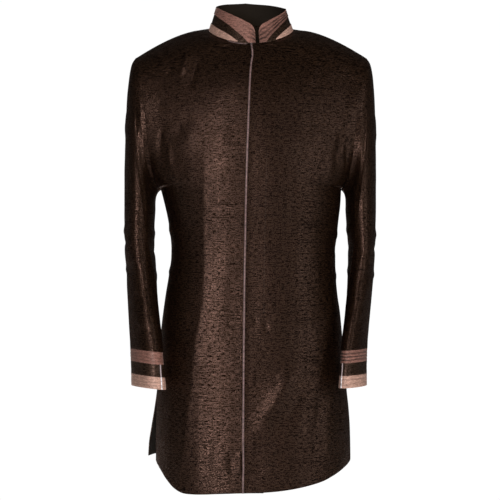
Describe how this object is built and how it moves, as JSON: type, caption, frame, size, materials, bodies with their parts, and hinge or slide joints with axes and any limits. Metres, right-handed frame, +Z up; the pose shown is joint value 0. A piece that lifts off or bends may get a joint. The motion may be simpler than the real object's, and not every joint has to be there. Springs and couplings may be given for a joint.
{
  "type": "sherwani coat",
  "caption": "Hollow short sherwani coat in its worn shape: lapped fronts, banded standing collar, two-piece sleeves with banded cuffs, side slits.",
  "frame": {"origin": "middle of the neck opening, at the height of the two neck points", "axes": "+Z up along the coat, -Y the coat's front, +X the wearer's left"},
  "size_m": [0.5025, 0.2942, 0.9721],
  "materials": {
    "brown_silk": "slubbed silk, soft sheen",
    "rose_silk": "silk, soft sheen",
    "pale_rose_silk": "silk, soft sheen",
    "mauve_piping": "satin piping"
  },
  "bodies": {
    "root": {"front_left": "brown_silk", "front_right": "brown_silk", "back": "brown_silk", "sleeve_top_right": "brown_silk", "sleeve_under_right": "brown_silk", "sleeve_top_left": "brown_silk", "sleeve_under_left": "brown_silk", "cuff_upper_right": "rose_silk", "cuff_middle_right": "brown_silk", "cuff_lower_right": "pale_rose_silk", "cuff_upper_left": "rose_silk", "cuff_middle_left": "brown_silk", "cuff_lower_left": "pale_rose_silk", "cuff_piping_right": "mauve_piping", "cuff_piping_left": "mauve_piping", "collar_band": "brown_silk", "collar_strip_top": "rose_silk", "collar_strip_bottom": "pale_rose_silk", "front_piping": "mauve_piping", "neck_piping": "mauve_piping"}
  },
  "joints": []
}
